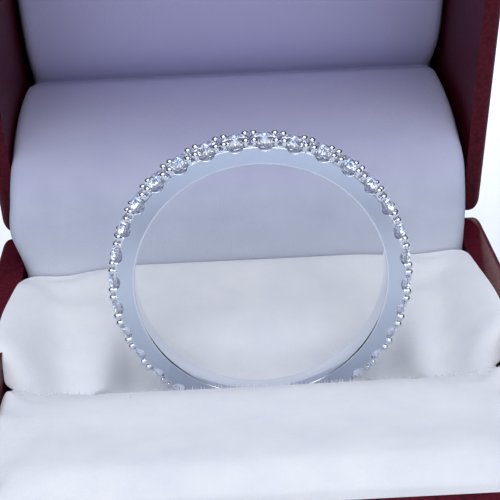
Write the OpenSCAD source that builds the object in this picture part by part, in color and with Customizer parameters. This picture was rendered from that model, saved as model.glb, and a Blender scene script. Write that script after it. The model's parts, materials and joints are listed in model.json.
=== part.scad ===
/* [Ring] */
// Inside diameter of the band, a ring of about 54 mm round
finger_d = 17.34; // [15:0.02:21]
// Width of the band along the finger
band_w = 2.1; // [1.9:0.05:2.8]
// Thickness of the band up to the ledge that the prongs stand on
band_t = 1.25; // [1.1:0.05:1.6]
// Number of stones round the band
stone_count = 32; // [28:1:34]
// Turn of the first stone to the right of the top
stone_turn = 3.3; // [0:0.1:11]

/* [Stones] */
// Gap between the girdles of two neighbouring stones
stone_gap = 0.09; // [0.06:0.01:0.2]
// Height of the girdle's middle above the ledge
girdle_lift = 0.2; // [0.1:0.01:0.3]
// Width of the table as a share of the stone's diameter
table_share = 0.56; // [0.5:0.01:0.64]
// Height of the crown as a share of the stone's diameter
crown_share = 0.16; // [0.1:0.01:0.18]
// Depth of the pavilion as a share of the stone's diameter
pavilion_share = 0.43; // [0.38:0.01:0.46]
// Half the thickness of the girdle as a share of the stone's radius
girdle_share = 0.03; // [0.02:0.01:0.05]
// Reach of the lower girdle facets' inner ends as a share of the stone's radius
lower_share = 0.24; // [0.2:0.01:0.3]
// Clearance between a stone and the metal that holds it
seat_clear = 0.02; // [0.01:0.01:0.04]

/* [Prongs] */
// Diameter of a prong and of its round head
prong_d = 0.5; // [0.4:0.02:0.56]
// Spacing between the two prongs of a pair
prong_pitch = 0.55; // [0.5:0.01:0.62]
// Height of the prong heads above the ledge
prong_rise = 0.6; // [0.5:0.02:0.7]
// Depth that the prongs' feet reach into the band
prong_root = 0.3; // [0.26:0.02:0.4]
// Step from the band's side face back to the prongs
prong_inset = 0.05; // [0.02:0.01:0.1]
// Radius of the scallop cut under each stone
scallop_r = 0.6; // [0.5:0.01:0.75]
// Depth of the scallop below the ledge
scallop_deep = 0.25; // [0.15:0.01:0.35]

/* [Box base] */
// Width of the box
box_w = 39; // [36:0.5:46]
// Depth of the box from front to back
box_d = 42; // [38:0.5:50]
// Height of the base up to its rim
base_h = 18; // [16.5:0.5:24]
// Thickness of the base's walls
base_wall = 2.25; // [1.5:0.05:2.5]
// Thickness of the base's floor
base_floor = 2; // [1:0.1:3]
// Radius of the box's upright corners
corner_r = 1.6; // [1:0.1:3]
// Radius of the box's bottom and top edges
edge_r = 1.2; // [0.6:0.1:2]
// Radius of the rims' edges
rim_r = 0.5; // [0.2:0.1:0.6]

/* [Box lid] */
// Height of the lid from its rim to its top
lid_h = 21.5; // [20.5:0.5:26]
// Thickness of the lid's walls
lid_wall = 1.4; // [1:0.1:2]
// Gap between the two rims when the box is shut
rim_gap = 0.3; // [0.2:0.05:0.6]
// Angle that the lid stands open at
lid_open = 72; // [0:1:72]
// Diameter of the hinge pin
pin_d = 1.2; // [0.8:0.1:1.6]
// Length of the hinge pin
pin_l = 26; // [16:1:32]
// Clearance round the hinge pin
pin_clear = 0.12; // [0.08:0.01:0.2]

/* [Cushion] */
// Distance of the ring's middle from the outside of the back wall
ring_back = 17.9; // [17:0.1:20]
// Place of the ring to the right of the box's middle
ring_side = 0.75; // [0:0.05:2]
// Depth of the ring's centre line above the rim
ring_up = 3.8; // [3:0.1:5]
// Clearance between the ring and the walls of its slot
slot_clear = 0.2; // [0.1:0.05:0.4]
// Clearance between a pad and the shell round it
pad_clear = 0.15; // [0.1:0.05:0.4]
// Gap between two pads that meet
pad_gap = 0.1; // [0.05:0.05:0.3]
// Radius of the pads' round edge along the slot
pad_edge_r = 4.2; // [3:0.1:5]
// Radius of the crown of the front pad
pad_crown_r = 26; // [20:1:30]
// Slope of the pads' tops beside the slot
pad_slope = 18.6; // [14:0.1:22]
// Length of the rear pad from the ring's middle to its back
rear_pad_l = 10.8; // [10:0.1:12]

/* [Lining] */
// Radius of the padded roll over the hinge
roll_r = 6.8; // [6:0.1:7.5]
// Gap that the lid's lining keeps from the roll
roll_gap = 0.3; // [0.2:0.05:0.5]
// Reach of the lid's back lining from the hinge at its fullest
back_swell = 7.8; // [7.6:0.1:8.4]
// Radius of the swell of the lid's back lining
back_swell_r = 37; // [30:1:45]
// Depth in the lid at which the back lining is fullest
back_swell_at = 1.5; // [1:0.1:3]
// Thickness of the lid's top lining at its middle
top_swell = 4.7; // [2:0.1:4.9]
// Radius of the swell of the lid's top lining
top_swell_r = 75; // [70:1:120]

/* [Hidden] */
BODY_NODES = ["box_base", "front_pad", "rear_pad", "hinge_roll", "hinge_pin", "ring_metal"];
LID_NODES = ["box_lid", "lid_lining"];

// Sides of a stone's seat, of a prong and of a scallop, and half a facet's turn on a stone
SEAT_SIDES = 8;
PRONG_SIDES = 6;
SCALLOP_SIDES = 20;
FACET_TURN = 180 / 8;

burgundy = "#5c2230";
velvet = "#dfe2ee";
silver = "#c9ced8";
crystal = "#eef0fa";

finger_r = finger_d / 2;
ledge_r = finger_r + band_t;
girdle_r = ledge_r + girdle_lift;
tip_r = ledge_r + prong_rise;
stone_step = 360 / stone_count;
stone_r = girdle_r * sin(stone_step / 2) - stone_gap / 2;
girdle_h = girdle_share * stone_r;
table_r = table_share * stone_r;
crown_z = girdle_h + 2 * crown_share * stone_r;
star_r = (table_r + stone_r) / 2;
star_z = crown_z - (star_r * cos(FACET_TURN) - table_r) * (crown_z - girdle_h) / (stone_r - table_r);
culet_z = girdle_h + 2 * pavilion_share * stone_r;
lower_r = lower_share * stone_r;
lower_z = culet_z - lower_r * cos(FACET_TURN) * (culet_z - girdle_h) / stone_r;

rim_z = base_h;
axis_z = rim_z + rim_gap / 2;
back_y = box_d / 2;
ring_y = back_y - ring_back;
ring_z = rim_z + ring_up;
cavity_w = box_w - 2 * base_wall;
cavity_back = back_y - base_wall;
cavity_front = -back_y + base_wall;
pad_w = cavity_w - 2 * pad_clear;
slot_half = band_w / 2 + slot_clear;
slot_floor = ring_z - tip_r - slot_clear;
edge_x = slot_half + pad_edge_r;
slope_x = edge_x - pad_edge_r * sin(pad_slope);
rear_top = rim_z - pad_gap / 2;
edge_z = rear_top - ((rear_pad_l - edge_x) * sin(pad_slope) + pad_edge_r) / cos(pad_slope);
slope_z = edge_z + pad_edge_r * cos(pad_slope);
crown_x = slope_x + pad_crown_r * sin(pad_slope);
crown_top = slope_z + pad_crown_r * (1 - cos(pad_slope));
lid_clear = roll_gap;
lid_floor = lid_h - lid_wall;
lining_w = box_w - 2 * lid_wall - 2 * pad_clear;

function stone_name(i) = str("stone_", i < 10 ? "0" : "", i);

// Points of one ring of a cut stone: how many, its radius, its height and its first angle
function stone_ring(count, radius, height, first) =
    [for (k = [0 : count - 1])
        let (a = first + k * 360 / count) [radius * cos(a), radius * sin(a), height]];

// A band with square edges, its hole along Z
module band_blank() {
    rotate_extrude($fn = 2 * stone_count)
        translate([finger_r, -band_w / 2]) square([band_t, band_w]);
}

// Puts its children at the middle of a stone, their Z pointing outwards
module at_stone(i) {
    rotate([0, 0, 90 - stone_turn - i * stone_step])
        translate([girdle_r, 0, 0])
            rotate([0, 90, 0]) children();
}

// The scallop that shows each stone from the side, cut right across the band
module scallop() {
    translate([0, 0, ledge_r - girdle_r - scallop_deep + scallop_r]) rotate([0, 90, 0])
        cylinder(r = scallop_r, h = 2 * band_w, center = true, $fn = SCALLOP_SIDES);
}

// The room that a stone needs in the metal: a cone below, and a bearing for the girdle that
// cuts a flat notch in each prong
module seat() {
    bearing_r = stone_r + 2 * seat_clear + girdle_h * stone_r / culet_z;
    flat = cos(180 / SEAT_SIDES);
    rotate([0, 0, 180 / SEAT_SIDES]) rotate_extrude($fn = SEAT_SIDES)
        polygon([
            [0, -culet_z - 2 * seat_clear], [bearing_r / flat, 0],
            [(star_r + seat_clear) / flat, star_z + seat_clear],
            [(star_r + seat_clear) / flat, crown_z + prong_rise], [0, crown_z + prong_rise]
        ]);
}

// A round bar of a prong's kind, one of its flats along the band's side
module prong_bar(r_low, r_high, h) {
    rotate([0, 0, 180 / PRONG_SIDES]) cylinder(r1 = r_low, r2 = r_high, h = h, $fn = PRONG_SIDES);
}

// One prong with its domed head, standing along Z from inside the band
module prong() {
    foot = ledge_r - prong_root;
    head_r = prong_d / 2;
    neck = tip_r - head_r;
    hull() {
        translate([0, 0, foot]) prong_bar(head_r, head_r, neck - foot);
        translate([0, 0, neck + head_r * sin(45)])
            prong_bar(head_r * cos(45), 0, head_r * (1 - sin(45)));
    }
}

// The two prongs between one stone and the next on one side, with the web that joins them
module prong_pair() {
    foot = ledge_r - prong_root;
    lean = prong_pitch / 2 / girdle_r * 180 / PI;
    for (s = [-1, 1]) rotate([0, s * lean, 0]) prong();
    hull()
        for (s = [-1, 1])
            rotate([0, s * lean, 0]) translate([0, 0, foot])
                prong_bar(prong_d / 2, prong_d / 2, girdle_r - foot);
}

// Puts its children at the ring's place in the box, its hole from front to back
module in_slot() {
    translate([ring_side, ring_y, ring_z]) rotate([90, 0, 0]) children();
}

module ring_metal() {
    color(silver) in_slot() difference() {
        union() {
            difference() {
                band_blank();
                for (i = [0 : stone_count - 1]) at_stone(i) scallop();
            }
            for (i = [0 : stone_count - 1], side = [-1, 1])
                rotate([0, 0, -stone_turn - (i + 0.5) * stone_step])
                    translate([0, 0, side * (band_w / 2 - prong_inset - prong_d / 2)])
                        rotate([-90, 0, 0]) prong_pair();
        }
        for (i = [0 : stone_count - 1]) at_stone(i) seat();
    }
}

// A round brilliant: table, 8 stars, 8 kites, 16 upper girdle facets, the girdle, 16 lower
// girdle facets and 8 pavilion mains that meet at a point
module stone(i) {
    table = stone_ring(8, table_r, crown_z, 0);
    stars = stone_ring(8, star_r, star_z, FACET_TURN);
    upper = stone_ring(16, stone_r, girdle_h, 0);
    under = stone_ring(16, stone_r, -girdle_h, 0);
    lower = stone_ring(8, lower_r, -lower_z, FACET_TURN);
    culet = [[0, 0, -culet_z]];
    t = 0; s = 8; g = 16; u = 32; l = 48; c = 56;
    faces = concat(
        [[for (k = [7 : -1 : 0]) t + k]],
        [for (k = [0 : 7]) [t + k, t + (k + 1) % 8, s + k]],
        [for (k = [0 : 7]) [t + k, s + k, g + 2 * k, s + (k + 7) % 8]],
        [for (k = [0 : 7]) [s + k, g + 2 * k + 1, g + 2 * k]],
        [for (k = [0 : 7]) [s + k, g + (2 * k + 2) % 16, g + 2 * k + 1]],
        [for (k = [0 : 15]) [g + k, g + (k + 1) % 16, u + (k + 1) % 16, u + k]],
        [for (k = [0 : 7]) [l + k, u + 2 * k, u + 2 * k + 1]],
        [for (k = [0 : 7]) [l + k, u + 2 * k + 1, u + (2 * k + 2) % 16]],
        [for (k = [0 : 7]) [c, l + (k + 7) % 8, u + 2 * k, l + k]]
    );
    color(crystal) in_slot() at_stone(i)
        polyhedron(points = concat(table, stars, upper, under, lower, culet), faces = faces);
}

// A rectangle with round corners, centred in x, from y = 0 up
module round_rect(w, h, r_low, r_high) {
    for (s = [-1, 1]) {
        translate([s * (w / 2 - r_low), r_low]) circle(r = r_low, $fn = 48);
        translate([s * (w / 2 - r_high), h - r_high]) circle(r = r_high, $fn = 48);
    }
    translate([-w / 2 + r_low, 0]) square([w - 2 * r_low, h / 2]);
    translate([-w / 2, r_low]) square([w, h / 2 - r_low]);
    translate([-w / 2 + r_high, h / 2]) square([w - 2 * r_high, h / 2]);
    translate([-w / 2, h / 2]) square([w, h / 2 - r_high]);
}

// A box with round upright corners and with round edges below and above
module round_box(w, d, h, r_low, r_high) {
    intersection() {
        translate([0, -d / 2, 0]) linear_extrude(h) round_rect(w, d, corner_r, corner_r);
        translate([0, d / 2, 0]) rotate([90, 0, 0]) linear_extrude(d) round_rect(w, h, r_low, r_high);
        translate([-w / 2, 0, 0]) rotate([90, 0, 90]) linear_extrude(w) round_rect(d, h, r_low, r_high);
    }
}

// The groove that the hinge pin lies in
module pin_groove() {
    translate([0, back_y, axis_z]) rotate([0, 90, 0])
        cylinder(d = pin_d + 2 * pin_clear, h = pin_l + 2 * pin_clear, center = true, $fn = 48);
}

module box_base() {
    color(burgundy) difference() {
        round_box(box_w, box_d, base_h, edge_r, rim_r);
        translate([-cavity_w / 2, cavity_front, base_floor])
            cube([cavity_w, cavity_back - cavity_front, base_h]);
        pin_groove();
    }
}

// Extrudes a profile of y and z across the box, centred in x
module across(w) {
    translate([-w / 2, 0, 0]) rotate([90, 0, 90]) linear_extrude(w) children();
}

// Profile of a pad from the slot outwards, up to where its slope begins
module pad_edge() {
    translate([edge_x, edge_z]) circle(r = pad_edge_r, $fn = 96);
    translate([pad_gap / 2, base_floor]) square([edge_x - pad_gap / 2, slot_floor - base_floor]);
    translate([slot_half, base_floor]) square([edge_x - slot_half, edge_z - base_floor]);
}

module front_pad() {
    far = ring_y - cavity_front - pad_clear;
    color(velvet) translate([0, ring_y, 0]) mirror([0, 1, 0]) across(pad_w) {
        pad_edge();
        intersection() {
            translate([crown_x, crown_top - pad_crown_r]) circle(r = pad_crown_r, $fn = 240);
            translate([slope_x, base_floor]) square([crown_x - slope_x, crown_top - base_floor]);
        }
        translate([crown_x, base_floor]) square([far - crown_x, crown_top - base_floor]);
    }
}

module rear_pad() {
    color(velvet) translate([0, ring_y, 0]) across(pad_w) {
        pad_edge();
        polygon([
            [slope_x, base_floor], [rear_pad_l, base_floor], [rear_pad_l, rear_top], [slope_x, slope_z]
        ]);
    }
}

// The padded roll round the hinge's axis, tucked into the base behind the rear pad
module hinge_roll() {
    front = back_y - roll_r;
    back = cavity_back - pad_clear;
    color(velvet) across(pad_w) {
        translate([front, base_floor]) square([back - front, axis_z - base_floor]);
        intersection() {
            translate([back_y, axis_z]) circle(r = roll_r, $fn = 96);
            translate([front, axis_z]) square([back - front, roll_r]);
        }
    }
}

module hinge_pin() {
    color(silver) translate([0, back_y, axis_z]) rotate([0, 90, 0])
        cylinder(d = pin_d, h = pin_l, center = true, $fn = 48);
}

// Turns its children, drawn with the box shut, about the hinge to the open lid's place
module opened() {
    translate([0, back_y, axis_z]) rotate([-lid_open, 0, 0]) translate([0, -back_y, -axis_z])
        children();
}

module box_lid() {
    color(burgundy) opened() difference() {
        translate([0, 0, rim_z + rim_gap]) round_box(box_w, box_d, lid_h, rim_r, edge_r);
        translate([-box_w / 2 + lid_wall, -back_y + lid_wall, rim_z])
            cube([box_w - 2 * lid_wall, box_d - 2 * lid_wall, rim_gap + lid_floor]);
        pin_groove();
    }
}

module lid_lining() {
    top = rim_z + rim_gap + lid_floor - pad_clear;
    back = back_y - lid_wall - pad_clear;
    front = -back_y + lid_wall + pad_clear;
    swell_y = back_y - back_swell;
    color(velvet) opened() across(lining_w) {
        difference() {
            intersection() {
                translate([swell_y, axis_z + lid_clear]) square([back - swell_y, top - axis_z - lid_clear]);
                translate([swell_y + back_swell_r, axis_z + back_swell_at])
                    circle(r = back_swell_r, $fn = 240);
            }
            translate([back_y, axis_z]) circle(r = roll_r + roll_gap, $fn = 96);
        }
        intersection() {
            translate([front, top - top_swell]) square([back - front, top_swell]);
            translate([(front + back) / 2, top - top_swell + top_swell_r])
                circle(r = top_swell_r, $fn = 360);
        }
    }
}

box_base();
front_pad();
rear_pad();
hinge_roll();
hinge_pin();
ring_metal();
box_lid();
lid_lining();
for (i = [1 : stone_count])
    stone(i - 1);
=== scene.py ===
"""Looks of an eternity ring that stands in its open ring box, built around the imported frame."""

import json
import logging
import math
import random
from dataclasses import dataclass, field
from enum import Enum

import bpy
from mathutils import Euler, Matrix, Vector

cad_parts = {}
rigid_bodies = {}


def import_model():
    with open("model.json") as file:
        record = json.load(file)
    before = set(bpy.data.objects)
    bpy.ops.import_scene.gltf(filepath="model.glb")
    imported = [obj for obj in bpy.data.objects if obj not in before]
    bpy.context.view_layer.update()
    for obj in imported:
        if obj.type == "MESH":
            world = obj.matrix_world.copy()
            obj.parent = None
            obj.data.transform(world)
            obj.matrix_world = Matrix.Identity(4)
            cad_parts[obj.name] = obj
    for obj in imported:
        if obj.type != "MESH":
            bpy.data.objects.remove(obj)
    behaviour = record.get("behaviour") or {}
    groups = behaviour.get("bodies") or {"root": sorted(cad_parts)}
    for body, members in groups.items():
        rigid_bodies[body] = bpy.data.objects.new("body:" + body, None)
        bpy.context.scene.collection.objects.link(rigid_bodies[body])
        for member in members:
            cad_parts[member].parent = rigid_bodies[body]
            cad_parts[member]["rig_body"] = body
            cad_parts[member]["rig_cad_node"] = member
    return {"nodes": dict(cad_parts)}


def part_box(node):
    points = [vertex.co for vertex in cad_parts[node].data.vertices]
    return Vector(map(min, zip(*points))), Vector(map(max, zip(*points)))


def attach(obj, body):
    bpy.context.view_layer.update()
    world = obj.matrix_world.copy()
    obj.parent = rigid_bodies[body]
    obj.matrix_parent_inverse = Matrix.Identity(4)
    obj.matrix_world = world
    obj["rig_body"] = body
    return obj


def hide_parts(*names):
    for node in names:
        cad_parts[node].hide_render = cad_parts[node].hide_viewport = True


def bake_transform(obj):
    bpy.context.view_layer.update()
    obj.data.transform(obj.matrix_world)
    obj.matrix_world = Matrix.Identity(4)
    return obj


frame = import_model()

LOG = logging.getLogger("ring_box")
MM = 0.001
# Vertices closer than WELD are one, and a place within NEAR of another counts as the same
WELD = 0.001 * MM
NEAR = 0.01 * MM


class Surface(Enum):
    """How a mesh is shaded."""

    SMOOTH = math.radians(180)
    CREASED = math.radians(34)


class Side(Enum):
    """A side of the band, as the sign of its Y."""

    FRONT = -1
    BACK = 1


def mm(*values: float) -> Vector:
    """A vector in metres from lengths in millimetres."""
    return Vector(values) * MM


def linear(hex_colour: str) -> tuple[float, float, float, float]:
    """Turns an sRGB hex colour into the linear colour that a shader wants.

    Args:
        hex_colour: Six hex digits after a hash.

    Returns:
        Red, green, blue and an alpha of 1.
    """
    parts = [int(hex_colour[i : i + 2], 16) / 255 for i in (1, 3, 5)]
    low = [p / 12.92 if p <= 0.04045 else ((p + 0.055) / 1.055) ** 2.4 for p in parts]
    return (*low, 1.0)


def deselect() -> None:
    """Leaves edit mode and deselects everything, the frame's own nodes too."""
    if bpy.context.object and bpy.context.object.mode != "OBJECT":
        bpy.ops.object.mode_set(mode="OBJECT")
    bpy.ops.object.select_all(action="DESELECT")


def take(piece: bpy.types.Object) -> None:
    """Makes one piece the only selected and active one.

    Args:
        piece: The piece to select.
    """
    deselect()
    piece.select_set(True)
    bpy.context.view_layer.objects.active = piece


def named(name: str) -> bpy.types.Object:
    """Names the active object and its mesh.

    Args:
        name: The name of both.

    Returns:
        The active object.
    """
    piece = bpy.context.object
    piece.name = piece.data.name = name
    return piece


def edit(piece: bpy.types.Object, everything: bool = True) -> None:
    """Opens a piece in edit mode with all of it selected, or none of it.

    Args:
        piece: The mesh to edit.
        everything: Whether all of it is selected.
    """
    take(piece)
    bpy.ops.object.mode_set(mode="EDIT")
    bpy.ops.mesh.select_all(action="SELECT" if everything else "DESELECT")


def edit_kept(piece: bpy.types.Object, kind: str, chosen: list[int]) -> None:
    """Opens a piece in edit mode with only some of its vertices or faces selected.

    Args:
        piece: The mesh to edit.
        kind: VERT or FACE.
        chosen: The numbers of the vertices or faces.
    """
    edit(piece, everything=False)
    bpy.ops.mesh.select_mode(type=kind)
    bpy.ops.object.mode_set(mode="OBJECT")
    parts = piece.data.vertices if kind == "VERT" else piece.data.polygons
    for index in chosen:
        parts[index].select = True
    bpy.ops.object.mode_set(mode="EDIT")


def finish_with(piece: bpy.types.Object, kind: str, **settings: object) -> bpy.types.Object:
    """Adds one modifier and applies it.

    Args:
        piece: The mesh that gets it.
        kind: Blender's name for the modifier.
        **settings: The modifier's own settings.

    Returns:
        The same piece.
    """
    take(piece)
    modifier = piece.modifiers.new(kind.lower(), kind)
    for key, value in settings.items():
        setattr(modifier, key, value)
    bpy.ops.object.modifier_apply(modifier=modifier.name)
    return piece


def combine(piece: bpy.types.Object, tool: bpy.types.Object, how: str) -> bpy.types.Object:
    """Joins a solid to a piece or cuts it out of it, and removes the solid.

    Args:
        piece: The mesh that is changed.
        tool: The solid that is used up.
        how: UNION or DIFFERENCE.

    Returns:
        The changed piece.
    """
    finish_with(piece, "BOOLEAN", object=tool, operation=how, solver="MANIFOLD")
    bpy.data.objects.remove(tool)
    return piece


def shade(piece: bpy.types.Object, surface: Surface) -> bpy.types.Object:
    """Shades a piece smooth all over, or smooth but for its creases.

    Args:
        piece: The mesh to shade.
        surface: How it is shaded.

    Returns:
        The same piece.
    """
    take(piece)
    if surface is Surface.SMOOTH:
        bpy.ops.object.shade_smooth()
    else:
        bpy.ops.object.shade_smooth_by_angle(angle=surface.value)
    return piece


def stack_rings(name: str, rings: list[tuple[float, float]], sides: int) -> bpy.types.Object:
    """Builds a turned solid on Z from a disc that is extruded and resized ring by ring.

    Args:
        name: The new piece's name.
        rings: Radius and height of each ring from below, in metres. A last radius of 0 is a tip.
        sides: Number of sides.

    Returns:
        The closed solid.
    """
    deselect()
    radius, height = rings[0]
    bpy.ops.mesh.primitive_circle_add(
        vertices=sides, radius=radius, location=(0, 0, height), fill_type="NGON"
    )
    piece = named(name)
    take(piece)
    bpy.ops.object.transform_apply(location=True, rotation=True, scale=True)
    edit(piece)
    for next_radius, next_height in rings[1:]:
        rise = (0, 0, next_height - height)
        bpy.ops.mesh.extrude_region_move(TRANSFORM_OT_translate={"value": rise})
        if next_radius == 0:
            bpy.ops.mesh.merge(type="CENTER")
            break
        share = next_radius / radius
        bpy.ops.transform.resize(value=(share, share, 1), center_override=(0, 0, next_height))
        radius, height = next_radius, next_height
    bpy.ops.mesh.select_all(action="SELECT")
    bpy.ops.mesh.normals_make_consistent(inside=False)
    deselect()
    return piece


def copied(piece: bpy.types.Object, places: list[Matrix], name: str) -> bpy.types.Object:
    """Puts a copy of a piece at each place and joins the copies, which lie clear of each other.

    Args:
        piece: The piece to repeat, which is used up.
        places: The place of each copy.
        name: The name of the joined piece.

    Returns:
        The joined piece.
    """
    twins = []
    for place in places:
        twin = piece.copy()
        twin.data = piece.data.copy()
        twin.data.transform(place)
        bpy.context.scene.collection.objects.link(twin)
        twins.append(twin)
    bpy.data.objects.remove(piece)
    deselect()
    for twin in twins:
        twin.select_set(True)
    bpy.context.view_layer.objects.active = twins[0]
    bpy.ops.object.join()
    return named(name)


def eased(value: float, low: float, high: float) -> float:
    """0 below low and 1 above high, with a soft start and end between them."""
    share = min(1.0, max(0.0, (value - low) / (high - low)))
    return share * share * (3 - 2 * share)


def smooth_line(points: list[tuple[float, ...]], steps: int) -> list[Vector]:
    """A smooth line through given points of any number of values, by cubic interpolation.

    Args:
        points: The points, in the order that the line meets them.
        steps: Number of steps from each point to the next.

    Returns:
        The line's points, the first and last ones included.
    """
    ends = [Vector(p) for p in points]
    padded = [2 * ends[0] - ends[1], *ends, 2 * ends[-1] - ends[-2]]
    line = []
    for a, b, c, d in zip(padded, padded[1:], padded[2:], padded[3:]):
        for k in range(steps):
            t = k / steps
            line.append(
                0.5
                * (
                    2 * b
                    + (c - a) * t
                    + (2 * a - 5 * b + 4 * c - d) * t**2
                    + (3 * b - 3 * c + d - a) * t**3
                )
            )
    return [*line, ends[-1]]


def add_node(
    tree: bpy.types.NodeTree, kind: str, links: dict | None = None, **settings: object
) -> bpy.types.Node:
    """Adds one shader node.

    Args:
        tree: The material's node tree.
        kind: Blender's type name without its ShaderNode prefix.
        links: Input names or numbers to a value, or to an output socket that feeds it.
        **settings: The node's own settings.

    Returns:
        The new node.
    """
    node = tree.nodes.new("ShaderNode" + kind)
    for key, value in settings.items():
        setattr(node, key, value)
    for key, value in (links or {}).items():
        if isinstance(value, bpy.types.NodeSocket):
            tree.links.new(value, node.inputs[key])
        else:
            node.inputs[key].default_value = value
    return node


@dataclass(frozen=True)
class Finish:
    """A surface finish, as a procedural material on object coordinates.

    A subclass says what feeds the shader's colour and bump, and what its fixed values are.
    """

    name: str
    colour: str
    roughness: float

    def fixed(self) -> dict[str, object]:
        """Shader inputs that are the same all over the surface."""
        return {}

    def patterned(self, tree: bpy.types.NodeTree, place: bpy.types.NodeSocket) -> dict[str, object]:
        """Shader inputs that a pattern feeds, from the object coordinates at place."""
        return {"Base Color": linear(self.colour)}

    def material(self) -> bpy.types.Material:
        """Builds the material, unless it is there already.

        Returns:
            The one material of this finish.
        """
        if self.name in bpy.data.materials:
            return bpy.data.materials[self.name]
        made = bpy.data.materials.new(self.name)
        made.use_nodes = True
        tree = made.node_tree
        tree.nodes.clear()
        place = add_node(tree, "TexCoord").outputs["Object"]
        inputs = {"Roughness": self.roughness, **self.fixed(), **self.patterned(tree, place)}
        shader = add_node(tree, "BsdfPrincipled", inputs)
        add_node(tree, "OutputMaterial", {"Surface": shader.outputs["BSDF"]})
        made.diffuse_color = linear(self.colour)
        return made

    def dress(self, piece: bpy.types.Object) -> bpy.types.Object:
        """Gives a piece this finish all over.

        Args:
            piece: The piece to dress.

        Returns:
            The same piece.
        """
        piece.data.materials.clear()
        piece.data.materials.append(self.material())
        return piece


@dataclass(frozen=True)
class Velvet(Finish):
    """Short-pile flocked velvet: matt, lighter at grazing angles, faintly mottled where it was stroked.

    The pile is about 0.05 mm apart on the real one. It is drawn at 0.16 mm, so that it shows.
    """

    brushed: str = "#ffffff"
    # Painted light: violet high up, where the light in the lid is bluer, paler at the foot, lit by the
    # pads
    painted_violet_light: str = ""
    foot: str = ""
    painted_violet_from: tuple[float, float] = (22 * MM, 29 * MM)
    painted_bounce_from: tuple[float, float] = (21.6 * MM, 18.4 * MM)
    stroke: float = 3.2 * MM
    pile: float = 0.16 * MM
    pile_depth: float = 0.06 * MM

    def fixed(self) -> dict[str, object]:
        """The sheen that the pile's tips give.

        Returns:
            The shader's fixed inputs.
        """
        return {
            "Sheen Weight": 0.45,
            "Sheen Roughness": 0.4,
            "Sheen Tint": linear(self.brushed),
            "Specular IOR Level": 0.15,
            "IOR": 1.5,
        }

    def painted_light_blend(
        self,
        tree: bpy.types.NodeTree,
        place: bpy.types.NodeSocket,
        colour: bpy.types.NodeSocket,
        heights: tuple[float, float],
        other: str,
    ) -> bpy.types.NodeSocket:
        """Paints light into a colour: blends it into another one from the first height to the second.

        Args:
            tree: The material's node tree.
            place: The object coordinates.
            colour: The socket of the colour at the first height.
            heights: The heights that the blend starts and ends at, in metres.
            other: The colour at the second height, as six hex digits after a hash.

        Returns:
            The socket of the blended colour.
        """
        height = add_node(tree, "SeparateXYZ", {"Vector": place}).outputs["Z"]
        share = add_node(
            tree, "MapRange", {"Value": height, "From Min": heights[0], "From Max": heights[1]}
        ).outputs["Result"]
        return add_node(
            tree, "Mix", {"Factor": share, 6: colour, 7: linear(other)}, data_type="RGBA"
        ).outputs[2]

    def patterned(self, tree: bpy.types.NodeTree, place: bpy.types.NodeSocket) -> dict[str, object]:
        """Strokes in the pile mix its two colours, painted light may tone it by height, and the pile is
        a fine bump.

        Args:
            tree: The material's node tree.
            place: The object coordinates.

        Returns:
            The sockets that feed the colour and the bump.
        """
        strokes = add_node(
            tree, "TexNoise", {"Vector": place, "Scale": 1 / self.stroke, "Detail": 3.0}
        ).outputs["Fac"]
        grain = add_node(
            tree, "TexNoise", {"Vector": place, "Scale": 1 / self.pile, "Detail": 2.0}
        ).outputs["Fac"]
        spread = add_node(
            tree, "MapRange", {"Value": strokes, "From Min": 0.3, "From Max": 0.7}
        ).outputs["Result"]
        colour = add_node(
            tree,
            "Mix",
            {"Factor": spread, 6: linear(self.colour), 7: linear(self.brushed)},
            data_type="RGBA",
        ).outputs[2]
        # Painted light: violet high in the lid, and paler at the foot, where the pale pads throw light
        # back
        if self.painted_violet_light:
            colour = self.painted_light_blend(tree, place, colour, self.painted_violet_from, self.painted_violet_light)
        if self.foot:
            colour = self.painted_light_blend(tree, place, colour, self.painted_bounce_from, self.foot)
        bump = add_node(
            tree, "Bump", {"Height": grain, "Distance": self.pile_depth, "Strength": 0.55}
        ).outputs["Normal"]
        return {"Base Color": colour, "Normal": bump}


@dataclass(frozen=True)
class Leatherette(Finish):
    """Leatherette paper, embossed by a roller: a weak gloss over fine pebbles with dark valleys."""

    deep: str = "#2c0d16"
    pebble: float = 0.34 * MM
    pebble_depth: float = 0.03 * MM
    worn: float = 5.0 * MM

    def fixed(self) -> dict[str, object]:
        """A weak gloss, as on matt coated paper."""
        return {"IOR": 1.45, "Specular IOR Level": 0.08}

    def patterned(self, tree: bpy.types.NodeTree, place: bpy.types.NodeSocket) -> dict[str, object]:
        """Pebbles are raised, and the valleys between them are darker in blotches.

        Args:
            tree: The material's node tree.
            place: The object coordinates.

        Returns:
            The sockets that feed the colour and the bump.
        """
        cells = add_node(tree, "TexVoronoi", {"Vector": place, "Scale": 1 / self.pebble})
        wear = add_node(
            tree, "TexNoise", {"Vector": place, "Scale": 1 / self.worn, "Detail": 2.0}
        ).outputs["Fac"]
        valley = add_node(
            tree, "MapRange", {"Value": cells.outputs["Distance"], "From Min": 0.25, "From Max": 0.75}
        ).outputs["Result"]
        shade_share = add_node(
            tree, "Math", {0: valley, 1: wear}, operation="MULTIPLY"
        ).outputs["Value"]
        mixed = add_node(
            tree,
            "Mix",
            {"Factor": shade_share, 6: linear(self.colour), 7: linear(self.deep)},
            data_type="RGBA",
        )
        dome = add_node(
            tree, "Math", {0: 1.0, 1: cells.outputs["Distance"]}, operation="SUBTRACT"
        ).outputs["Value"]
        bump = add_node(
            tree, "Bump", {"Height": dome, "Distance": self.pebble_depth, "Strength": 0.5}
        ).outputs["Normal"]
        return {"Base Color": mixed.outputs[2], "Normal": bump}


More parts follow.
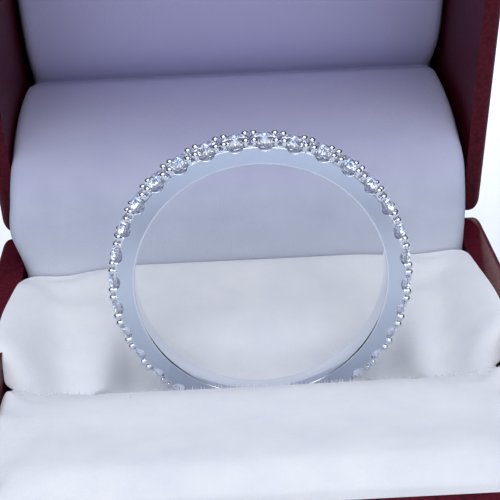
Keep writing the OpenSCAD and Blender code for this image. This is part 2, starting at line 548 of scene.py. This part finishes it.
@dataclass(frozen=True)
class PolishedMetal(Finish):
    """Metal that was cast and polished or buffed, with the faintest wave left by the wheel."""

    wave: float = 2.4 * MM
    wave_depth: float = 0.004 * MM

    def fixed(self) -> dict[str, object]:
        """A plain metal."""
        return {"Metallic": 1.0}

    def patterned(self, tree: bpy.types.NodeTree, place: bpy.types.NodeSocket) -> dict[str, object]:
        """A shallow wave from polishing by hand.

        Args:
            tree: The material's node tree.
            place: The object coordinates.

        Returns:
            The sockets that feed the colour and the bump.
        """
        waves = add_node(
            tree, "TexNoise", {"Vector": place, "Scale": 1 / self.wave, "Detail": 1.0}
        ).outputs["Fac"]
        bump = add_node(
            tree, "Bump", {"Height": waves, "Distance": self.wave_depth, "Strength": 0.1}
        ).outputs["Normal"]
        return {"Base Color": linear(self.colour), "Normal": bump}


@dataclass(frozen=True)
class CutStone(Finish):
    """Clear cut stone, as colourless glass of a high index, with a faint painted glow."""

    index: float = 2.0
    # Strength of the painted glow, which stands in for light bouncing inside the stone
    painted_glow: float = 0.04

    def fixed(self) -> dict[str, object]:
        """Light bends strongly in it, and a faint painted glow stands in for the light that bounces
        about inside.

        Returns:
            The shader's fixed inputs.
        """
        return {
            "Transmission Weight": 1.0,
            "IOR": self.index,
            # The stone glows faintly: painted light for the light that bounces inside it
            "Emission Color": linear(self.colour),
            "Emission Strength": self.painted_glow,
        }


# White flocked velvet over foam: chalky and soft, with a pale bloom where it curves away
VELVET_PAD = Velvet("velvet_pad", "#e7e9ed", 0.95, brushed="#f0f1f2")
# The same velvet in grey-blue: matt, with painted violet light up in the lid and painted pad light at
# its foot
VELVET_LINING = Velvet(
    "velvet_lining", "#b8bed0", 0.95, brushed="#c2c9d7", painted_violet_light="#ccc9ec", foot="#d9deea"
)
# Embossed burgundy leatherette paper: deep red with a soft broad gleam on its edges
BURGUNDY = Leatherette("leatherette_burgundy", "#5a1726", 0.45)
# Rhodium-plated silver, polished to a mirror: sharp bright and dark reflections on beads and edges
SILVER = PolishedMetal("polished_silver", "#e6ebf3", 0.04)
# The same silver, buffed flat on a wheel, so with no sharp reflection; its darker blue-grey colour is a
# painted reflection
SATIN_PAINTED_REFLECTION = PolishedMetal("buffed_silver_painted_reflection", "#d2dcea", 0.26)
# Drawn steel wire, left plain: a dull grey gleam in the hinge's groove
STEEL = PolishedMetal("hinge_steel", "#b9bcc2", 0.22)
# Cubic zirconia, cut and polished: clear, with bright and dark facets that change with the view, and a
# faint painted glow
ZIRCONIA = CutStone("cubic_zirconia", "#eaf0fd", 0.0)
# Plain matt paper: a pale ground with no gloss
PAPER = Finish("floor_paper", "#dbe0ea", 0.9)


@dataclass
class Ring:
    """The ring's metal, as a band with shared prongs, and its stones, which are the frame's own nodes.

    The sizes of the finger, a stone, a bead, a post and a scallop are radii.
    """

    finger: float = 8.67 * MM
    width: float = 2.1 * MM
    thick: float = 1.25 * MM
    stones: int = 32
    first_turn: float = math.radians(3.3)
    girdle_lift: float = 0.2 * MM
    stone: float = 0.947 * MM
    prong_rise: float = 0.6 * MM
    bead: float = 0.25 * MM
    post: float = 0.205 * MM
    pair_pitch: float = 0.55 * MM
    inset: float = 0.05 * MM
    root: float = 0.3 * MM
    scallop: float = 0.6 * MM
    scallop_deep: float = 0.25 * MM
    clear: float = 0.02 * MM
    inner_round: float = 0.14 * MM
    outer_round: float = 0.05 * MM
    round_segments: int = 5
    steps_per_stone: int = 24
    prong_sides: int = 20
    bead_steps: int = 9
    web_share: float = 1.7
    seat_sides: int = 40
    # Shares of the stone's diameter, as in the frame's own stones
    table_share: float = 0.56
    crown_share: float = 0.16
    pavilion_share: float = 0.43
    girdle_share: float = 0.03
    # Radius of the seat's foot, as a share of the stone's radius
    seat_foot_share: float = 0.04
    # A face this square to the finger, this close to the band's side, is part of that side
    side_facing: float = 0.999
    side_near: float = 0.002 * MM
    centre: Vector = field(default_factory=Vector)

    def __post_init__(self) -> None:
        """Works out the radii that follow from the sizes."""
        low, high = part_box("ring_metal")
        self.centre = (low + high) / 2
        self.ledge = self.finger + self.thick
        self.girdle = self.ledge + self.girdle_lift
        self.tip = self.ledge + self.prong_rise
        self.step = math.tau / self.stones
        depth_share = self.girdle_share + 2 * self.pavilion_share
        widened = self.girdle_share * self.stone / depth_share
        self.bearing = self.stone + 2 * self.clear + widened

    def at(self, turn: float, along: float = 0.0, out: float = 0.0) -> Matrix:
        """A place on the ring: its Z points outwards and its Y along the finger.

        Args:
            turn: Angle to the right of the top, in radians.
            along: Distance along the finger from the band's middle.
            out: Distance from the ring's centre.

        Returns:
            The matrix that puts a piece there.
        """
        spin = Matrix.Rotation(turn, 4, "Y")
        return Matrix.Translation(self.centre) @ spin @ Matrix.Translation((0, along, out))

    def band(self) -> bpy.types.Object:
        """Spins the band's section, with its rounded edges, right round the finger.

        Returns:
            The band, centred on the origin.
        """
        deselect()
        bpy.ops.mesh.primitive_plane_add(size=1, location=(self.finger + self.thick / 2, 0, 0))
        band = named("ring_mount")
        band.scale = (self.thick, self.width, 1)
        bpy.ops.object.transform_apply(location=True, rotation=True, scale=True)
        for inner, radius in ((True, self.inner_round), (False, self.outer_round)):
            edge = self.finger if inner else self.ledge
            corners = [v.index for v in band.data.vertices if abs(v.co.x - edge) < NEAR]
            edit_kept(band, "VERT", corners)
            bpy.ops.mesh.bevel(offset=radius, segments=self.round_segments, affect="VERTICES")
            deselect()
        edit(band)
        bpy.ops.mesh.delete(type="ONLY_FACE")
        bpy.ops.mesh.select_all(action="SELECT")
        bpy.ops.mesh.spin(
            steps=self.stones * self.steps_per_stone,
            angle=math.tau,
            use_auto_merge=True,
            center=(0, 0, 0),
            axis=(0, 1, 0),
        )
        bpy.ops.mesh.select_all(action="SELECT")
        bpy.ops.mesh.remove_doubles(threshold=WELD)
        bpy.ops.mesh.normals_make_consistent(inside=False)
        deselect()
        return band

    def press_scallops(self, band: bpy.types.Object) -> None:
        """Lowers the band's outside to a round scallop under each stone.

        Args:
            band: The band, centred on the origin.
        """
        middle = self.ledge - self.scallop_deep + self.scallop
        for vertex in band.data.vertices:
            radius = math.hypot(vertex.co.x, vertex.co.z)
            below = self.ledge - radius
            if below > self.outer_round + NEAR:
                continue
            turn = math.atan2(vertex.co.x, vertex.co.z) - self.first_turn
            off = (turn + self.step / 2) % self.step - self.step / 2
            reach = self.scallop**2 - (middle * math.sin(off)) ** 2
            if reach > 0:
                floor = middle * math.cos(off) - math.sqrt(reach)
                share = min(1.0, (floor - below) / radius)
                vertex.co.x *= share
                vertex.co.z *= share

    def prong(self) -> bpy.types.Object:
        """Turns one post with its bead, standing from inside the band.

        Returns:
            The prong, on Z above the ring's centre.
        """
        middle = self.tip - self.bead
        neck = math.asin(self.post / self.bead)
        rings = [(self.post, self.ledge - self.root), (self.post, middle - self.bead * math.cos(neck))]
        for k in range(1, self.bead_steps):
            angle = neck + (math.pi - neck) * k / self.bead_steps
            rings.append((self.bead * math.sin(angle), middle - self.bead * math.cos(angle)))
        rings.append((0, self.tip))
        return stack_rings("prong", rings, self.prong_sides)

    def prong_pair(self) -> bpy.types.Object:
        """Joins the two prongs between two stones on one side by a web at their feet.

        Returns:
            The pair, on Z above the ring's centre.
        """
        lean = self.pair_pitch / 2 / self.girdle
        pair = copied(self.prong(), [Matrix.Rotation(-lean, 4, "Y")], "prong_pair")
        other = copied(self.prong(), [Matrix.Rotation(lean, 4, "Y")], "prong_other")
        combine(pair, other, "UNION")
        foot = self.ledge - self.root
        deselect()
        bpy.ops.mesh.primitive_cube_add(size=1, location=(0, 0, (foot + self.ledge) / 2))
        web = named("prong_web")
        across = self.web_share * self.post
        web.scale = (self.pair_pitch, across, self.ledge - foot + self.girdle_lift)
        bpy.ops.object.transform_apply(location=True, rotation=True, scale=True)
        return combine(pair, web, "UNION")

    def seat(self) -> bpy.types.Object:
        """Turns the room that a stone needs: a cone below, and a bearing that notches the prongs.

        Returns:
            The room as a solid, with the stone's girdle at the origin.
        """
        half = self.girdle_share * self.stone
        culet = half + 2 * self.pavilion_share * self.stone
        crown = half + 2 * self.crown_share * self.stone
        table = self.table_share * self.stone
        star = (1 + self.table_share) / 2 * self.stone
        sink = (star * math.cos(math.pi / 8) - table) * (crown - half) / (self.stone - table)
        star_up = crown - sink
        rings = [
            (self.seat_foot_share * self.stone, -culet - 2 * self.clear),
            (self.bearing, 0.0),
            (star + self.clear, star_up + self.clear),
            (star + self.clear, crown + self.prong_rise),
        ]
        return stack_rings("seat", rings, self.seat_sides)

    def on_side(self, point: Vector) -> bool:
        """Whether a point lies on one of the band's flat sides."""
        return abs(abs(point.y - self.centre.y) - self.width / 2) < self.side_near

    def build(self) -> bpy.types.Object:
        """Builds the metal and dresses it and the stones.

        Returns:
            The ring's metal, in its place in the box.
        """
        turns = [self.first_turn + k * self.step for k in range(self.stones)]
        metal = self.band()
        self.press_scallops(metal)
        metal.data.transform(Matrix.Translation(self.centre))
        step_in = self.width / 2 - self.inset - self.bead
        places = [
            self.at(turn + self.step / 2, along=side.value * step_in)
            for side in Side
            for turn in turns
        ]
        combine(metal, copied(self.prong_pair(), places, "prongs"), "UNION")
        seats = copied(self.seat(), [self.at(turn, out=self.girdle) for turn in turns], "seats")
        combine(metal, seats, "DIFFERENCE")
        SILVER.dress(shade(metal, Surface.CREASED))
        # The flat sides get the buffed silver, whose darker, bluer colour is a painted reflection
        metal.data.materials.append(SATIN_PAINTED_REFLECTION.material())
        for polygon in metal.data.polygons:
            if abs(polygon.normal.y) > self.side_facing and self.on_side(polygon.center):
                polygon.material_index = 1
                polygon.use_smooth = False
        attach(metal, "base")
        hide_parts("ring_metal")
        stones = [node for name, node in frame["nodes"].items() if name.startswith("stone_")]
        for stone in stones:
            ZIRCONIA.dress(stone)
        LOG.info("stones: %d", len(stones))
        return metal


@dataclass
class Box:
    """The ring box's two shells and its hinge pin."""

    def build(self) -> list[bpy.types.Object]:
        """Dresses the frame's own shells and pin.

        Returns:
            The three nodes.
        """
        for name in ("box_base", "box_lid"):
            BURGUNDY.dress(frame["nodes"][name])
        STEEL.dress(frame["nodes"]["hinge_pin"])
        return [frame["nodes"][name] for name in ("box_base", "box_lid", "hinge_pin")]


@dataclass
class Lining:
    """One padded sheet of velvet, from behind the rear pad over the hinge and up inside the lid."""

    thick: float = 1.1 * MM
    edge: float = 0.9 * MM
    columns: int = 96
    steps: int = 6
    course: list[tuple[float, float, float, float]] = field(
        default_factory=lambda: [
            # y, z, left edge and right edge, from behind the rear pad up to the lid's top
            (14.5, 9.0, -17.0, 17.0),
            (14.3, 14.0, -17.0, 17.0),
            (14.1, 17.6, -17.1, 17.05),
            (14.2, 21.0, -18.0, 17.2),
            (15.9, 23.6, -18.0, 17.4),
            (17.5, 25.0, -18.0, 17.5),
            (19.8, 26.1, -18.0, 17.5),
            (22.9, 27.15, -18.0, 17.5),
            (26.8, 27.7, -18.0, 17.5),
            (30.4, 27.8, -17.9, 17.5),
            (32.6, 27.35, -17.7, 17.5),
            (33.6, 27.15, -17.6, 17.5),
            (32.8, 28.0, -17.6, 17.7),
            (31.4, 30.2, -17.7, 17.9),
            (29.9, 34.0, -17.75, 17.95),
            (28.2, 40.0, -17.75, 17.95),
            (26.7, 45.0, -17.75, 17.95),
            (25.7, 50.0, -17.75, 17.95),
            (25.1, 54.5, -17.75, 17.95),
            (25.0, 58.0, -17.75, 17.95),
            (25.6, 60.0, -17.75, 17.95),
            (26.6, 61.0, -17.75, 17.95),
        ]
    )

    def build(self) -> bpy.types.Object:
        """Builds the sheet along its course over the hinge, and dresses it.

        Returns:
            The sheet.
        """
        line = smooth_line(self.course, self.steps)
        rows = len(line)
        deselect()
        bpy.ops.mesh.primitive_grid_add(
            x_subdivisions=self.columns, y_subdivisions=rows - 1, size=1
        )
        sheet = named("lining_sheet")
        for vertex in sheet.data.vertices:
            row = round((vertex.co.y + 0.5) * (rows - 1))
            share = 2 * vertex.co.x
            here = line[row] * MM
            ahead = line[min(row + 1, rows - 1)] - line[max(row - 1, 0)]
            front = Vector((0, -ahead[1], ahead[0])).normalized()
            half = (here[3] - here[2]) / 2
            centre = (here[3] + here[2]) / 2
            off = max(0.0, abs(share) * half - (half - self.edge)) / self.edge
            sink = self.edge * (1 - math.sqrt(max(0.0, 1 - min(off, 1.0) ** 2)))
            vertex.co = Vector((centre + share * half, here[0], here[1])) - front * sink
        edit(sheet)
        bpy.ops.mesh.normals_make_consistent(inside=False)
        deselect()
        finish_with(sheet, "SOLIDIFY", thickness=self.thick, offset=-1)
        VELVET_LINING.dress(shade(sheet, Surface.SMOOTH))
        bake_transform(sheet)
        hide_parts("lid_lining", "hinge_roll")
        return sheet


@dataclass
class Pad:
    """A velvet pad of the cushion, swollen by cloth simulation from the frame's plain solid.

    A pair of lengths says where a move of the velvet starts and where it has its full strength.
    """

    node: str
    # Place of the edge along the slot, and the height of the top
    lip: float
    level: float
    # How far the ends beyond the ring come forward to the other pad
    close: float
    # Distances from the lip between which the velvet is tucked in, its lift there, and the share
    # of that lift that is lost at the left and the right corner
    tucked: tuple[float, float]
    crest: float
    sunk: tuple[float, float]
    # Lift of the lip's corners at the side walls
    corner: float
    # Distances from the lip and from the ring's middle within which the pile is raised
    reach: float
    spread: float

    # The simulation: its scale, the remesh and its smoothing, and the most that a point may move
    grow: float = 20.0
    voxel: float = 0.8 * MM
    smoothings: int = 14
    pressure: float = 4.0
    moments: int = 20
    held_below: float = 0.35
    swell: float = 0.6 * MM

    # The slot: its floor, the heights above it within which moves fade in, and its opening
    slot_floor: float = 11.1 * MM
    dip_rise: float = 3.5 * MM
    end_rise: float = 2.2 * MM
    corner_rise: float = 3.0 * MM
    dip: float = 2.2 * MM
    dip_span: tuple[float, float] = (0.0, 4.0 * MM)

    # The ends beyond the ring: where they start, how they come forward and how they slope down
    ends: tuple[float, float] = (9.2 * MM, 12.6 * MM)
    pulled: tuple[float, float] = (0.5 * MM, 7.0 * MM)
    settled: tuple[float, float] = (3.0 * MM, 7.0 * MM)
    brow: float = 9.0 * MM
    fall: float = 0.52
    square: float = 2.7 * MM
    squared: tuple[float, float] = (11.4 * MM, 14.6 * MM)
    splay: float = 0.3
    flank: tuple[float, float] = (12.8 * MM, 16.6 * MM)
    flank_from: tuple[float, float] = (-2.5 * MM, 1.4 * MM)
    flank_rise: float = 0.4 * MM

    # The far edge
    far_corners: tuple[float, float] = (8.0 * MM, 16.0 * MM)
    far_top: tuple[float, float] = (15.0 * MM, 16.8 * MM)

    # The side walls: their inner face, and how the velvet fills up to them and laps their rim
    wall: float = 17.22 * MM
    wall_from: float = 13.0 * MM
    fill: float = 0.95 * MM
    fill_from: float = 14.0 * MM
    fill_top: tuple[float, float] = (14.0 * MM, 16.0 * MM)
    fill_start: tuple[float, float] = (-2.0 * MM, 2.5 * MM)
    fill_lost: float = 0.9
    corner_from: float = 14.8 * MM
    corner_span: tuple[float, float] = (2.0 * MM, 8.0 * MM)
    lap: float = 0.6 * MM
    lap_span: tuple[float, float] = (5.0 * MM, 12.0 * MM)
    rim: tuple[float, float] = (17.8 * MM, 18.2 * MM)

    # The pile
    pile: float = 0.28 * MM
    pile_foot: float = 0.2 * MM
    pile_upright: float = 0.05
    inset: float = 0.07 * MM
    scatter: float = 0.035 * MM
    scatter_even: float = 0.5
    drift: float = 0.6
    share: float = 0.5
    seed: int = 7

    def __post_init__(self) -> None:
        """Finds the middle of the ring that stands in the slot."""
        low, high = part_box("ring_metal")
        self.ring_x = (low.x + high.x) / 2

    def copy(self) -> bpy.types.Object:
        """Copies the frame's solid into a piece of its own, with its doubles merged.

        Returns:
            The copy.
        """
        source = frame["nodes"][self.node]
        pad = source.copy()
        pad.data = source.data.copy()
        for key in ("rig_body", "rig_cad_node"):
            del pad[key]
        pad.parent = None
        bpy.context.scene.collection.objects.link(pad)
        take(pad)
        named(self.node + "_velvet")
        edit(pad)
        bpy.ops.mesh.remove_doubles(threshold=WELD)
        deselect()
        return pad

    def puff(self, pad: bpy.types.Object) -> None:
        """Lets pressure swell the pad's top, which is held at its sides, no further than swell.

        Args:
            pad: The remeshed pad.
        """
        pad.data.transform(Matrix.Scale(self.grow, 4))
        rest = [vertex.co.copy() for vertex in pad.data.vertices]
        held = pad.vertex_groups.new(name="held")
        sides = [v.index for v in pad.data.vertices if v.normal.z < self.held_below]
        held.add(sides, 1.0, "REPLACE")
        take(pad)
        cloth = pad.modifiers.new("cloth", "CLOTH")
        cloth.settings.vertex_group_mass = held.name
        cloth.settings.use_pressure = True
        cloth.settings.uniform_pressure_force = self.pressure
        cloth.settings.effector_weights.gravity = 0.0
        cloth.point_cache.frame_start = 1
        cloth.point_cache.frame_end = self.moments
        for moment in range(1, self.moments + 1):
            bpy.context.scene.frame_set(moment)
        bpy.ops.object.modifier_apply(modifier=cloth.name)
        most = self.swell * self.grow
        for vertex, before in zip(pad.data.vertices, rest):
            move = vertex.co - before
            if move.length > most:
                vertex.co = before + move * (most / move.length)
        pad.vertex_groups.clear()
        pad.data.transform(Matrix.Scale(1 / self.grow, 4))

    def close_ends(self, pad: bpy.types.Object) -> None:
        """Opens the slot beside the ring, and lets the velvet fall to the other pad beyond its ends.

        Args:
            pad: The pad whose ends come forward.
        """
        widest = max(abs(vertex.co.x) for vertex in pad.data.vertices)
        for vertex in pad.data.vertices:
            end = eased(abs(vertex.co.x - self.ring_x), *self.ends)
            high = eased(vertex.co.z, self.slot_floor, self.slot_floor + self.dip_rise)
            back = vertex.co.y - self.lip
            vertex.co.z -= self.dip * (1 - end) * high * (1 - eased(back, *self.dip_span))
            above = eased(vertex.co.z, self.slot_floor, self.slot_floor + self.end_rise)
            square = self.square * eased(abs(vertex.co.x), *self.squared)
            near = end * above * (1 - eased(back, *self.pulled))
            vertex.co.y -= (self.close + square) * near
            off = abs(vertex.co.x) + self.splay * near * square
            vertex.co.x = math.copysign(min(off, widest), vertex.co.x)
            fallen = self.level - self.fall * max(0.0, self.brow - vertex.co.y)
            side = eased(abs(vertex.co.x), *self.flank)
            side *= eased(vertex.co.y, *self.flank_from)
            fallen += side * (self.level + self.flank_rise - fallen)
            missing = fallen - vertex.co.z
            if missing < 0:
                missing *= 1 - eased(back, *self.settled)
            vertex.co.z += end * above * missing

    def raise_back(self, pad: bpy.types.Object) -> None:
        """Lifts the edge that is tucked in along the far wall, less so at its corners.

        Args:
            pad: The pad to lift.
        """
        for vertex in pad.data.vertices:
            far = eased(abs(vertex.co.y - self.lip), *self.tucked)
            lost = self.sunk[vertex.co.x > 0] * eased(abs(vertex.co.x), *self.far_corners)
            vertex.co.z += self.crest * (1 - lost) * far * eased(vertex.co.z, *self.far_top)

    def meet_walls(self, pad: bpy.types.Object) -> None:
        """Pushes the velvet out to the side walls and up to their rim, which it laps a little.

        Args:
            pad: The pad to fit between the walls.
        """
        widest = max(abs(vertex.co.x) for vertex in pad.data.vertices)
        for vertex in pad.data.vertices:
            off = abs(vertex.co.x)
            near = eased(off, self.wall_from, widest)
            far = eased(abs(vertex.co.y - self.lip), *self.tucked)
            lift = self.fill * (1 - self.fill_lost * far) * eased(vertex.co.z, *self.fill_top)
            if self.close:
                lift *= eased(vertex.co.y, *self.fill_start)
            vertex.co.z += lift * eased(off, self.fill_from, widest)
            corner = self.corner * (1 - eased(abs(vertex.co.y - self.lip), *self.corner_span))
            above = eased(vertex.co.z, self.slot_floor, self.slot_floor + self.corner_rise)
            vertex.co.z += corner * above * eased(off, self.corner_from, widest)
            lap = self.lap * (1 - eased(vertex.co.y, *self.lap_span))
            wall = self.wall + lap * eased(vertex.co.z, *self.rim)
            vertex.co.x *= 1 + near * (wall / widest - 1)

    def add_pile(self, pad: bpy.types.Object) -> bpy.types.Object:
        """Raises the velvet's pile beside the slot, where it is seen edge on, as fine needles.

        Args:
            pad: The finished pad.

        Returns:
            The needles.
        """
        pile = pad.copy()
        pile.data = pad.data.copy()
        bpy.context.scene.collection.objects.link(pile)
        take(pile)
        named(self.node + "_pile")
        chance = random.Random(self.seed)
        chosen = []
        for polygon in pile.data.polygons:
            off = abs(polygon.center.y - self.lip)
            top = polygon.normal.z > self.pile_upright
            top = top and polygon.center.z > self.slot_floor + self.pile_foot
            top = top and abs(polygon.center.x - self.ring_x) < self.spread
            if top and chance.random() < self.share * (1 - eased(off, self.reach / 2, self.reach)):
                chosen.append(polygon.index)
        edit_kept(pile, "FACE", chosen)
        bpy.ops.mesh.select_all(action="INVERT")
        bpy.ops.mesh.delete(type="FACE")
        bpy.ops.mesh.select_all(action="SELECT")
        bpy.ops.transform.vertex_random(
            offset=self.scatter, uniform=self.scatter_even, seed=self.seed
        )
        bpy.ops.mesh.edge_split(type="EDGE")
        bpy.ops.mesh.inset(thickness=self.inset, use_individual=True)
        bpy.ops.mesh.select_all(action="INVERT")
        bpy.ops.mesh.delete(type="FACE")
        bpy.ops.mesh.select_all(action="SELECT")
        bpy.ops.mesh.extrude_region_shrink_fatten(TRANSFORM_OT_shrink_fatten={"value": -self.pile})
        bpy.ops.mesh.merge(type="COLLAPSE")
        bpy.ops.mesh.select_mode(type="VERT")
        deselect()
        for vertex in pile.data.vertices:
            if vertex.select:
                lean = Vector([chance.uniform(-1, 1) for _ in range(3)])
                vertex.co += lean * self.pile * self.drift
        VELVET_PAD.dress(shade(pile, Surface.SMOOTH))
        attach(pile, "base")
        return pile

    def build(self) -> bpy.types.Object:
        """Builds the pad and dresses it.

        Returns:
            The pad.
        """
        pad = self.copy()
        finish_with(pad, "REMESH", mode="VOXEL", voxel_size=self.voxel)
        finish_with(pad, "SMOOTH", factor=0.5, iterations=self.smoothings)
        self.puff(pad)
        if self.close:
            self.close_ends(pad)
        self.raise_back(pad)
        self.meet_walls(pad)
        finish_with(pad, "SUBSURF", levels=2, render_levels=2)
        VELVET_PAD.dress(shade(pad, Surface.SMOOTH))
        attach(pad, "base")
        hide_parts(self.node)
        pile = self.add_pile(pad)
        LOG.info("%s: %d faces", pile.name, len(pile.data.polygons))
        return pad


@dataclass(frozen=True)
class SoftBox:
    """A rectangular area light that looks at a point."""

    name: str
    place: Vector
    target: Vector
    size: tuple[float, float]
    power: float
    colour: str

    def build(self) -> bpy.types.Object:
        """Adds the light.

        Returns:
            The light's object.
        """
        data = bpy.data.lights.new(self.name, "AREA")
        data.shape = "RECTANGLE"
        data.size, data.size_y = self.size
        data.energy = self.power
        data.color = linear(self.colour)[:3]
        lamp = bpy.data.objects.new(self.name, data)
        bpy.context.scene.collection.objects.link(lamp)
        lamp.location = self.place
        lamp.rotation_euler = (self.target - self.place).to_track_quat("-Z", "Y").to_euler()
        return lamp


@dataclass
class Studio:
    """The camera, the floor and the lights."""

    eye: Vector = field(default_factory=lambda: mm(-2.125, -84.644, 63.315))
    yaw: float = math.radians(1.447)
    pitch: float = math.radians(24.195)
    roll: float = math.radians(-2.145)
    lens: float = 100.8
    floor_size: float = 3.0
    # Heights of a direction, as its Z, between which the surround brightens, and its strengths
    brightens: tuple[float, float] = (0.42, 0.72)
    glow: tuple[float, float] = (0.01, 0.6)

    def camera(self) -> bpy.types.Object:
        """Adds the camera at the photograph's viewing angle.

        Returns:
            The camera's object.
        """
        data = bpy.data.cameras.new("camera")
        data.lens = self.lens
        data.sensor_width = 36.0
        data.clip_start = 0.005
        made = bpy.data.objects.new("camera", data)
        bpy.context.scene.collection.objects.link(made)
        look = Euler((math.pi / 2 - self.pitch, 0, -self.yaw)).to_matrix().to_4x4()
        spin = Matrix.Rotation(self.roll, 4, "Z")
        made.matrix_world = Matrix.Translation(self.eye) @ look @ spin
        bpy.context.scene.camera = made
        return made

    def floor(self) -> bpy.types.Object:
        """Adds the plain pale floor.

        Returns:
            The floor.
        """
        deselect()
        bpy.ops.mesh.primitive_plane_add(size=self.floor_size)
        floor = named("floor")
        PAPER.dress(floor)
        return floor

    def light(self) -> None:
        """Adds soft studio lights above and a surround that is dark along the horizon."""
        middle = mm(0, 5, 20)
        boxes = [
            SoftBox("light_main", mm(0, -150, 270), middle, (0.4, 0.2), 0.5, "#f6f8ff"),
            SoftBox("light_above", mm(10, -20, 300), middle, (0.16, 0.16), 0.19, "#f6f8ff"),
            SoftBox("light_front", mm(0, -300, 95), middle, (0.5, 0.04), 0.19, "#f6f8ff"),
            SoftBox("light_behind", mm(20, 300, 170), mm(20, 120, 0), (0.1, 0.1), 0.9, "#ffffff"),
        ]
        for box in boxes:
            box.build()
        world = bpy.data.worlds.new("surround")
        bpy.context.scene.world = world
        world.use_nodes = True
        tree = world.node_tree
        tree.nodes.clear()
        direction = add_node(tree, "TexCoord").outputs["Generated"]
        height = add_node(tree, "SeparateXYZ", {"Vector": direction}).outputs["Z"]
        (low, high), (dim, bright) = self.brightens, self.glow
        strength = add_node(
            tree,
            "MapRange",
            {"Value": height, "From Min": low, "From Max": high, "To Min": dim, "To Max": bright},
            interpolation_type="SMOOTHSTEP",
        ).outputs["Result"]
        sky = add_node(tree, "Background", {"Color": linear("#dde6fb"), "Strength": strength})
        add_node(tree, "OutputWorld", {"Surface": sky.outputs["Background"]})
        bpy.context.scene.view_settings.view_transform = "Standard"


def main() -> None:
    """Builds every piece in order and reports it."""
    logging.basicConfig(level=logging.INFO, format="%(message)s")
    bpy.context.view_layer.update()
    studio = Studio()
    studio.camera()
    ring = Ring().build()
    LOG.info("ring metal: %d faces", len(ring.data.polygons))
    for node in Box().build():
        LOG.info("%s: %d faces", node.name, len(node.data.polygons))
    sheet = Lining().build()
    LOG.info("lining: %d faces", len(sheet.data.polygons))
    front = Pad(
        node="front_pad",
        lip=1.85 * MM,
        level=17.0 * MM,
        close=0.0,
        tucked=(9.8 * MM, 17.0 * MM),
        crest=0.7 * MM,
        corner=1.0 * MM,
        sunk=(0.0, 0.0),
        reach=7.0 * MM,
        spread=17.0 * MM,
    )
    rear = Pad(
        node="rear_pad",
        lip=4.35 * MM,
        level=17.2 * MM,
        close=2.45 * MM,
        tucked=(6.0 * MM, 9.2 * MM),
        crest=1.3 * MM,
        corner=0.0,
        sunk=(0.95, 0.5),
        reach=2.6 * MM,
        spread=7.0 * MM,
    )
    for pad in (front, rear):
        made = pad.build()
        LOG.info("%s: %d faces", made.name, len(made.data.polygons))
    studio.floor()
    studio.light()


if __name__ == "__main__":
    main()
